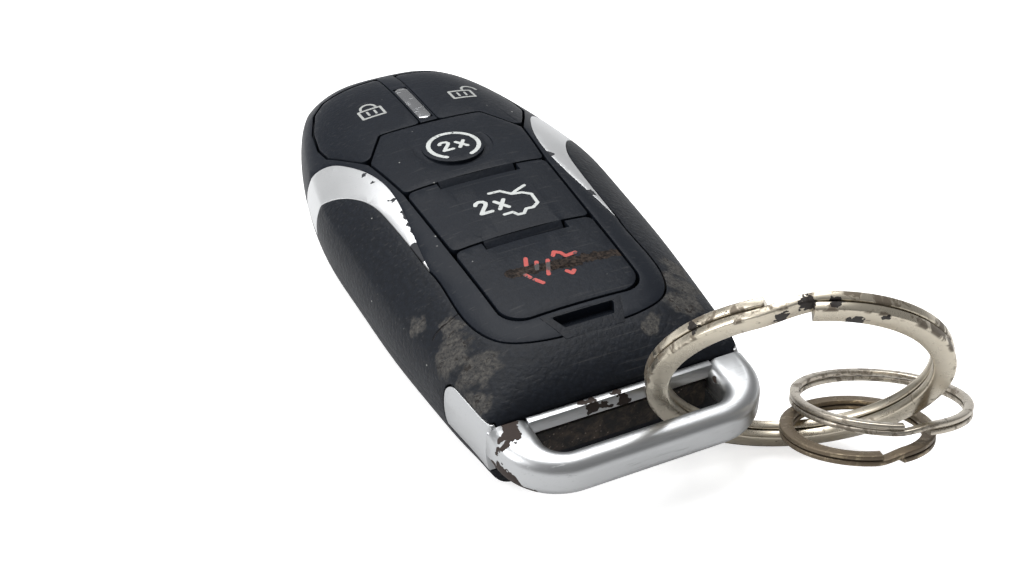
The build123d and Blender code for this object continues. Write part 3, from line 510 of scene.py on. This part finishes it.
def dress(node, bevel, angle=32, smooth=40):
    source = NODES[node]
    body = body_of(source)[0]
    mesh = source.data.copy()
    shape = bmesh.new()
    shape.from_mesh(mesh)
    bmesh.ops.remove_doubles(shape, verts=shape.verts, dist=0.0005 * MM)
    bmesh.ops.dissolve_degenerate(shape, edges=shape.edges, dist=0.0005 * MM)
    bmesh.ops.dissolve_limit(shape, angle_limit=math.radians(0.6), verts=shape.verts,
                             edges=shape.edges)
    shape.to_mesh(mesh)
    shape.free()
    piece = bpy.data.objects.new(node + "_dressed", mesh)
    bpy.context.collection.objects.link(piece)
    mesh.materials.clear()
    mesh.materials.append(FINISH[node])
    mesh.shade_smooth()
    if bevel:
        cut = piece.modifiers.new("edges", "BEVEL")
        cut.width = bevel * MM
        cut.segments = 2
        cut.limit_method = "ANGLE"
        cut.angle_limit = math.radians(angle)
        cut.use_clamp_overlap = True
        cut.harden_normals = False
    plain = applied(piece)
    plain.shade_smooth()
    plain.set_sharp_from_angle(angle=math.radians(smooth))
    piece.data = plain
    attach(piece, body)
    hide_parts(node)
    return piece


DRESSED = {}
EDGES = {"front_bezel": 0.1, "grip_shell": 0.1, "rear_shell": 0.1, "battery_cover": 0.1,
         "shoulder_trim_left": 0.08, "shoulder_trim_right": 0.08, "centre_strip": 0.1,
         "lock_button": 0.14, "unlock_button": 0.14, "start_button": 0.14, "trunk_button": 0.14,
         "panic_button": 0.14, "key_loop": 0.15, "release_slider": 0.1}
for part, bevel in EDGES.items():
    DRESSED[part] = dress(part, bevel)
    print(part, len(DRESSED[part].data.polygons), "faces")

# %% [markdown]
# ## Split rings by rule
# A split ring is one flat wire wound almost twice round, with a step where the first turn
# crosses to the second. The wire could be swept by hand, but a rule is shorter: each point's
# angle runs with its number, and its height changes once, over the step. One Geometry Nodes
# tree does this for all three rings, which differ only in their named inputs.

# %% The split ring tree
def split_ring_tree():
    tree = bpy.data.node_groups.new("split_ring", "GeometryNodeTree")
    for name in ("Radius", "Wire Width", "Wire Height", "Rise", "Edge"):
        tree.interface.new_socket(name, in_out="INPUT", socket_type="NodeSocketFloat")
    tree.interface.new_socket("Points", in_out="INPUT", socket_type="NodeSocketInt")
    tree.interface.new_socket("Finish", in_out="INPUT", socket_type="NodeSocketMaterial")
    tree.interface.new_socket("Ring", in_out="OUTPUT", socket_type="NodeSocketGeometry")
    w = Wire(tree)
    inputs = tree.nodes.new("NodeGroupInput")
    given = {s.name: Wire(tree, s) for s in inputs.outputs if s.name}
    share = w.make("GeometryNodeInputIndex") / (given["Points"] - 1)
    angle = math.radians(274) - share * math.radians(703)
    height = angle.ease(math.radians(-92), math.radians(-63), -1.0, 1.0) * given["Rise"]
    place = w.make("ShaderNodeCombineXYZ", X=angle.math("COSINE", angle) * given["Radius"],
                   Y=angle.math("SINE", angle) * given["Radius"], Z=height)
    line = w.make("GeometryNodeMeshLine", Count=given["Points"])
    bent = w.make("GeometryNodeSetPosition", Geometry=line, Position=place)
    path = w.make("GeometryNodeMeshToCurve", Mesh=bent)
    path = w.make("GeometryNodeSetCurveNormal", {"mode": "Z_UP"}, Curve=path)
    section = w.make("GeometryNodeCurvePrimitiveQuadrilateral", Width=given["Wire Width"],
                     Height=given["Wire Height"])
    section = w.make("GeometryNodeFilletCurve", {"mode": "POLY"}, Curve=section, Count=3,
                     Radius=given["Edge"])
    body = w.make("GeometryNodeCurveToMesh", i0=path, i1=section, Fill_Caps=True)
    body = w.make("GeometryNodeRealizeInstances", Geometry=body)
    body = w.make("GeometryNodeSetMaterial", Geometry=body, Material=given["Finish"])
    result = tree.nodes.new("NodeGroupOutput")
    tree.links.new(body.socket, result.inputs[0])
    return tree


ring_tree = split_ring_tree()
print("split ring tree", len(ring_tree.nodes), "nodes")

# %% [markdown]
# ## The three rings
# Each ring is one object with the tree on it. The result is made plain, turned into the ring's
# own plane, and compared with the solid's box, so that a wrong size shows up in the print.

# %% The three rings
def split_ring(node, tree, radius, wire, centre, normal, edge):
    piece = bpy.data.objects.new(node + "_dressed", bpy.data.meshes.new(node + "_dressed"))
    bpy.context.collection.objects.link(piece)
    rule = piece.modifiers.new("rule", "NODES")
    rule.node_group = tree
    values = {"Radius": radius * MM, "Wire Width": wire[0] * MM, "Wire Height": wire[1] * MM,
              "Rise": (wire[1] + TURN_GAP) / 2 * MM, "Edge": edge * MM, "Points": 241,
              "Finish": FINISH[node]}
    for item in tree.interface.items_tree:
        if item.in_out == "INPUT":
            rule[item.identifier] = values[item.name]
    mesh = applied(piece)
    z_dir = Vector(normal).normalized()
    x_dir = z_dir.cross(Vector((0, 0, 1))).normalized()
    frame_of_ring = Matrix((x_dir, z_dir.cross(x_dir), z_dir)).transposed().to_4x4()
    frame_of_ring.translation = Vector(centre) * MM
    mesh.transform(frame_of_ring)
    shape = bmesh.new()
    shape.from_mesh(mesh)
    bmesh.ops.recalc_face_normals(shape, faces=shape.faces)
    shape.to_mesh(mesh)
    shape.free()
    mesh.shade_smooth()
    mesh.set_sharp_from_angle(angle=math.radians(40))
    piece.data = mesh
    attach(piece, body_of(NODES[node])[0])
    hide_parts(node)
    return piece


TURN_GAP = 0.16
RINGS = {"key_ring": (14.4, (2.35, 1.0), KEY_RING_HUB, (-0.37, -0.84, -0.38), 0.22),
         "small_ring": (9.2, (1.0, 0.55), (26.5, -41.55, 6.1), (0.18, 0.35, 0.92), 0.14),
         "ring_link": (7.4, (1.4, 0.5), (21.53, -44.34, 6.16), (0.12, 0.31, 0.94), 0.12)}
for part, sizes in RINGS.items():
    radius, wire, centre, normal, edge = sizes
    DRESSED[part] = split_ring(part, ring_tree, radius, wire, centre, normal, edge)
    new = [v.co for v in DRESSED[part].data.vertices]
    old = [v.co for v in NODES[part].data.vertices]
    drift = [round((pick(c[i] for c in new) - pick(c[i] for c in old)) / MM, 2)
             for i in range(3) for pick in (min, max)]
    print(part, len(DRESSED[part].data.polygons), "faces, box drift in mm", drift)

# %% [markdown]
# ## The catch's spring
# The zigzag spring sits between the catch and the housing. It cannot ride on either body. It is
# dressed without a bevel and given a mesh of its own; its ends and the catch's travel are printed.

# %% The catch's spring
CATCH_TRAVEL = 2.0
spring = dress("release_spring", 0)
DRESSED["release_spring"] = spring
ends = [v.co.y for v in spring.data.vertices]
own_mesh(spring)
print("spring from", [round(pick(ends) / MM, 2) for pick in (min, max)], "mm, travel", CATCH_TRAVEL)

# %% [markdown]
# ## The rest of the parts
# What is left lies inside, so it keeps its own mesh and only takes its finish.

# %% Finishes on the parts inside
for part, solid in NODES.items():
    if part not in DRESSED:
        solid.data.materials.clear()
        solid.data.materials.append(FINISH[part])
print("inner parts", len(NODES) - len(DRESSED))

# %% [markdown]
# ## Printed markings
# The keys carry plain pictograms. Each is drawn as flat strokes, cut fine enough to follow the
# crowned key, dropped onto the key from above, and given the thickness of a coat of paint.

# %% Stroke and text helpers
CROWN = 14.3
STROKE_STEP = 0.0006
DROP_FROM = 30 * MM


def stroke(points, width):
    # A ribbon with round ends along a run of points, as triangles in a plane.
    flat = [Vector(p) for p in points]
    half = width / 2
    tris = []
    for a, b in zip(flat, flat[1:]):
        run = b - a
        steps = max(1, int(run.length / 0.35))
        side = Vector((-run.y, run.x)).normalized() * half
        for i in range(steps):
            p, q = a + run * i / steps, a + run * (i + 1) / steps
            tris.append((p - side, q - side, q + side, p + side))
    for c in flat:
        turns = [t * math.pi / 5 for t in range(10)]
        tris.append(tuple(c + Vector((math.cos(t), math.sin(t))) * half for t in turns))
    return tris


def arc(centre, radius, start_deg, end_deg, count=28):
    turns = [math.radians(start_deg + (end_deg - start_deg) * i / count) for i in range(count + 1)]
    return [(centre[0] + radius * math.cos(t), centre[1] + radius * math.sin(t)) for t in turns]


def settle(name, faces, node, finish, lift=0.02, coat=0.03):
    # Drops flat faces onto a dressed node and gives them thickness. Faces that cross each
    # other lie at slightly different heights, so that none flickers through the next.
    target = DRESSED[node]
    tree = BVHTree.FromObject(target, bpy.context.evaluated_depsgraph_get())
    shape = bmesh.new()
    for k, face in enumerate(faces):
        extra = (k % 7) * STROKE_STEP
        ring = []
        for x, y in face:
            hit = tree.ray_cast(Vector((x * MM, y * MM, DROP_FROM)), Vector((0, 0, -1)))
            top = hit[0].z if hit[0] is not None else CROWN * MM
            ring.append(shape.verts.new((x * MM, y * MM, top + (lift + extra) * MM)))
        shape.faces.new(ring)
    bmesh.ops.recalc_face_normals(shape, faces=shape.faces)
    for face in shape.faces:
        if face.normal.z < 0:
            face.normal_flip()
    mesh = bpy.data.meshes.new(name)
    shape.to_mesh(mesh)
    shape.free()
    mesh.materials.append(finish)
    piece = bpy.data.objects.new(name, mesh)
    bpy.context.collection.objects.link(piece)
    wall = piece.modifiers.new("coat", "SOLIDIFY")
    wall.thickness = coat * MM
    wall.offset = -1
    piece.data = applied(piece)
    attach(piece, body_of(NODES[node])[0])
    return piece


TWO = ((-0.5, 0.62), (-0.38, 0.86), (-0.05, 1.0), (0.32, 0.88), (0.45, 0.6), (0.3, 0.25),
       (-0.15, -0.3), (-0.5, -0.8), (0.5, -0.8))
CROSS = (((-0.42, 0.45), (0.42, -0.8)), ((0.42, 0.45), (-0.42, -0.8)))


def two_cross(centre, size, gap, width):
    def at(p, shift):
        return centre[0] + shift + p[0] * size * 1.05, centre[1] + p[1] * size

    faces = stroke([at(p, -gap) for p in TWO], width)
    for line in CROSS:
        faces += stroke([at(p, gap) for p in line], width)
    return faces


print("stroke helpers ready")

# %% [markdown]
# ## Surround of the slot
# Below the keys a grained tab fills the bezel's gap, and the slot is cut through it. It
# is a flat outline with the slot left out, filled with triangles, dropped onto the crown that
# the bezel and the grip share, and given a wall. A boolean would need a solid for each step.

# %% Surround of the slot
TAB = [(-3.5, -25.6), (3.5, -25.6), (4.9, -21.95), (-4.9, -21.95)]
SLOT = [(-2.95, -24.2), (2.95, -24.2), (3.8, -22.4), (-3.8, -22.4)]
TAB_LIFT, TAB_WALL = 0.05, 0.25


def within(p, ring):
    # A point in a four-sided ring, as two triangles.
    first, second = ([Vector(ring[i]) for i in corners] for corners in ((0, 1, 2), (0, 2, 3)))
    return (geometry.intersect_point_tri_2d(p, *first)
            or geometry.intersect_point_tri_2d(p, *second))


def slot_surround():
    hull = bmesh.new()
    for part in ("front_bezel", "grip_shell"):
        hull.from_mesh(DRESSED[part].data)
    bmesh.ops.convex_hull(hull, input=hull.verts)
    crown = BVHTree.FromBMesh(hull)
    hull.free()
    grid = [Vector((x * 0.5, -25.4 + y * 0.4)) for x in range(-10, 11) for y in range(9)]
    points = [Vector(p) for p in TAB + SLOT]
    points += [p for p in grid if within(p, TAB) and not within(p, SLOT)]
    edges = [(0, 1), (1, 2), (2, 3), (3, 0), (4, 5), (5, 6), (6, 7), (7, 4)]
    flat, _, faces, *_ = geometry.delaunay_2d_cdt(points, edges, [], 1, 1e-5)
    kept = [f for f in faces if not within(sum((flat[i] for i in f), Vector((0, 0))) / 3, SLOT)]
    places = []
    for p in flat:
        hit = crown.ray_cast(Vector((p.x * MM, p.y * MM, DROP_FROM)), Vector((0, 0, -1)))
        places.append((p.x * MM, p.y * MM, hit[0].z + TAB_LIFT * MM))
    mesh = bpy.data.meshes.new("slot_surround")
    mesh.from_pydata(places, [], [tuple(f) for f in kept])
    shape = bmesh.new()
    shape.from_mesh(mesh)
    for face in shape.faces:
        face.normal_update()
        if face.normal.z < 0:
            face.normal_flip()
    bmesh.ops.delete(shape, geom=[v for v in shape.verts if not v.link_faces], context="VERTS")
    shape.to_mesh(mesh)
    shape.free()
    mesh.materials.append(grip_black)
    piece = bpy.data.objects.new("slot_surround", mesh)
    bpy.context.collection.objects.link(piece)
    wall = piece.modifiers.new("wall", "SOLIDIFY")
    wall.thickness = TAB_WALL * MM
    wall.offset = -1
    piece.data = applied(piece)
    piece.data.set_sharp_from_angle(angle=math.radians(40))
    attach(piece, body_of(NODES["front_bezel"])[0])
    return piece


surround = slot_surround()
print("slot surround", len(surround.data.polygons), "faces")

# %% [markdown]
# ## Printed paint
# The paint is a thin pale or red coat that has flaked off in places. The red one shares the
# panic key's scratch path, so the scratch cuts through its strokes.

# %% Print finishes
def print_finish(name, tone, wear, torn=()):
    material, w = start(name)
    flake = cloud(w, 0.7, 5.0, 0.7).ease(wear, wear + 0.05)
    for points, width in torn:
        flake = flake.most(flaked(w, points, width).ease(0.5, 0.62))
    grime = cloud(w, 1.6, 3.0, 0.6)
    colour = flake.tint(tone, (0.012, 0.01, 0.01))
    colour = (grime.ease(0.5, 0.75) * 0.3).tint(colour, tuple(v * 0.5 for v in tone))
    set_up(w, Base_Color=colour, Roughness=0.45 + grime * 0.15)
    return material


print_white = print_finish("print_white", (0.5, 0.52, 0.51), 0.62)
print_pale = print_finish("print_pale", (0.34, 0.35, 0.34), 0.66)
print_red = print_finish("print_red", (0.42, 0.045, 0.035), 0.55, panic_peel)
print("print finishes ready")

# %% [markdown]
# ## The pictograms
# The start key has an open circle, the middle key a car with its boot open, and the lower key
# the loose strokes that are left of its sign. Coordinates are millimetres seen from above.

# %% The pictograms
DISH = (0.15, 13.1)
start_mark = stroke(arc(DISH, 3.15, 232, -68), 0.54) + two_cross(DISH, 1.15, 1.0, 0.48)
settle("start_mark", start_mark, "start_button", print_white)
boot = [(-0.5, 1.05), (0.9, 1.0), (1.95, -0.1), (3.2, -0.3), (4.1, -1.0), (4.0, -2.9), (3.1, -3.6),
        (2.2, -3.55), (1.6, -4.3), (0.85, -4.25), (0.5, -3.55), (-0.6, -3.6)]
trunk_mark = stroke(boot, 0.42) + stroke([(1.95, -0.1), (2.7, 0.35), (4.1, 1.0)], 0.42)
trunk_mark += two_cross((-1.15, -1.35), 1.3, 1.12, 0.5)
settle("trunk_mark", trunk_mark, "trunk_button", print_white)
panic_runs = (((-2.03, -12.3), (-2.5, -13.5)), ((-3.3, -14.9), (-3.0, -15.6)),
              ((-1.2, -13.4), (-1.7, -14.6)), ((-2.7, -16.1), (-2.1, -17.0)),
              ((0.1, -13.6), (-0.9, -15.9)),
              ((1.0, -13.1), (1.4, -12.5), (2.0, -12.9), (2.3, -13.7), (3.6, -13.5)),
              ((1.2, -16.2), (1.6, -16.8), (2.0, -16.4)))
panic_mark = [face for run in panic_runs for face in stroke(run, 0.5)]
settle("panic_mark", panic_mark, "panic_button", print_red)
print("three keypad markings")

# %% [markdown]
# ## Padlocks
# The lock and unlock keys share one drawing. Only the hoop's side shift differs.

# %% Padlock pictograms
def padlock(x, y, open_side):
    box = [(x - 1.5, y - 1.6), (x + 1.5, y - 1.6), (x + 1.5, y + 0.5), (x - 1.5, y + 0.5),
           (x - 1.5, y - 1.6)]
    hoop = arc((x + open_side, y + 0.9), 1.0, 180, 0, 10)
    faces = stroke(box, 0.34) + stroke(hoop, 0.34)
    for side in (-0.5, 0.5):
        faces += stroke([(x + side, y - 1.0), (x + side, y - 0.1)], 0.3)
    return faces


settle("lock_mark", padlock(-5.6, 27.0, 0.0), "lock_button", print_pale)
settle("unlock_mark", padlock(6.9, 26.6, 1.6), "unlock_button", print_pale)
print("two padlock markings")

# %% [markdown]
# ## Floor, light and camera
# The fob lies on a pale sheet that glows a little to the camera, so that it reads as white
# without lighting the fob from below.

# %% Floor
def pale_floor():
    material = bpy.data.materials.new("pale_sheet")
    material.use_nodes = True
    tree = material.node_tree
    w = Wire(tree)
    shader = tree.nodes["Principled BSDF"]
    shader.inputs["Base Color"].default_value = (0.86, 0.86, 0.86, 1)
    shader.inputs["Roughness"].default_value = 0.8
    path = w.make("ShaderNodeLightPath", out="Is Camera Ray")
    glow = w.make("ShaderNodeEmission", Color=(1, 1, 1, 1), Strength=0.62)
    joined = w.make("ShaderNodeAddShader", i0=Wire(tree, shader.outputs[0]), i1=glow)
    both = w.make("ShaderNodeMixShader", i0=path, i1=Wire(tree, shader.outputs[0]), i2=joined)
    tree.links.new(both.socket, tree.nodes["Material Output"].inputs[0])
    return material


bpy.ops.mesh.primitive_plane_add(size=4, location=(0, 0, CAD_BOX[0][2] - 0.00001))
floor = bpy.context.object
floor.name = "floor"
floor.data.materials.append(pale_floor())
print("floor ready")

# %% [markdown]
# ## World and lamps
# A dim even sky fills the shadows. One broad lamp stands high behind the fob, where its
# reflection runs over the keys towards the camera, and a smaller one lights the left trim.

# %% World and lamps
world = bpy.data.worlds.new("studio")
bpy.context.scene.world = world
world.use_nodes = True
world.node_tree.nodes["Background"].inputs[0].default_value = (1, 1, 1, 1)
world.node_tree.nodes["Background"].inputs[1].default_value = 0.32


def lamp(name, place, target, size, power):
    light = bpy.data.lights.new(name, "AREA")
    light.shape = "RECTANGLE"
    light.size, light.size_y = size
    light.energy = power
    holder = bpy.data.objects.new(name, light)
    holder.location = place
    holder.rotation_euler = (Vector(target) - Vector(place)).to_track_quat("-Z", "Y").to_euler()
    bpy.context.collection.objects.link(holder)
    return holder


lamp("top_soft", (0.05, 0.25, 0.55), (0, 0, 0), (0.5, 0.5), 4.2)
lamp("left_soft", (-0.55, 0.1, 0.35), (0, 0, 0), (0.3, 0.4), 2.6)
print("lamps ready")

# %% [markdown]
# ## A dark card
# A plated surface shows what stands round it. A dark card that the camera does not see gives
# the loop its dark band, as a studio would do.

# %% Dark card
def dark_card(name, corners):
    mesh = bpy.data.meshes.new(name)
    mesh.from_pydata(corners, [], [(0, 1, 2, 3)])
    material = bpy.data.materials.new(name)
    material.use_nodes = True
    shader = material.node_tree.nodes["Principled BSDF"]
    shader.inputs["Base Color"].default_value = (0.02, 0.02, 0.02, 1)
    mesh.materials.append(material)
    card = bpy.data.objects.new(name, mesh)
    card.visible_camera = False
    card.visible_shadow = False
    card.visible_diffuse = False
    bpy.context.collection.objects.link(card)
    return card


CARD_X, CARD_Y, CARD_LOW, CARD_TOP = 0.4, -0.5, 0.12, 0.2
dark_card("front_card", [(-CARD_X, CARD_Y, CARD_LOW), (CARD_X, CARD_Y, CARD_LOW),
                         (CARD_X, CARD_Y, CARD_TOP), (-CARD_X, CARD_Y, CARD_TOP)])
print("card ready")

# %% [markdown]
# ## Camera
# The place, angle and lens were fitted to the photo, so that the render can be laid over it.

# %% Camera
SENSOR_MM, PHOTO_WIDTH_PX, FOCAL_PX = 36.0, 1024, 1600
EYE = Vector((-63.8, -141.5, 121.5)) * MM
AZIMUTH, ELEVATION = math.radians(-24.95), math.radians(37.87)
back = Vector((math.sin(AZIMUTH) * math.cos(ELEVATION), -math.cos(AZIMUTH) * math.cos(ELEVATION),
               math.sin(ELEVATION)))
camera = bpy.data.objects.new("camera", bpy.data.cameras.new("camera"))
camera.location = EYE
camera.rotation_euler = (-back).to_track_quat("-Z", "Y").to_euler()
camera.data.sensor_width = SENSOR_MM
camera.data.lens = FOCAL_PX / PHOTO_WIDTH_PX * SENSOR_MM
camera.data.clip_start = 0.005
bpy.context.collection.objects.link(camera)
bpy.context.scene.camera = camera
bpy.context.scene.view_settings.view_transform = "Standard"
print("camera lens", round(camera.data.lens, 2))
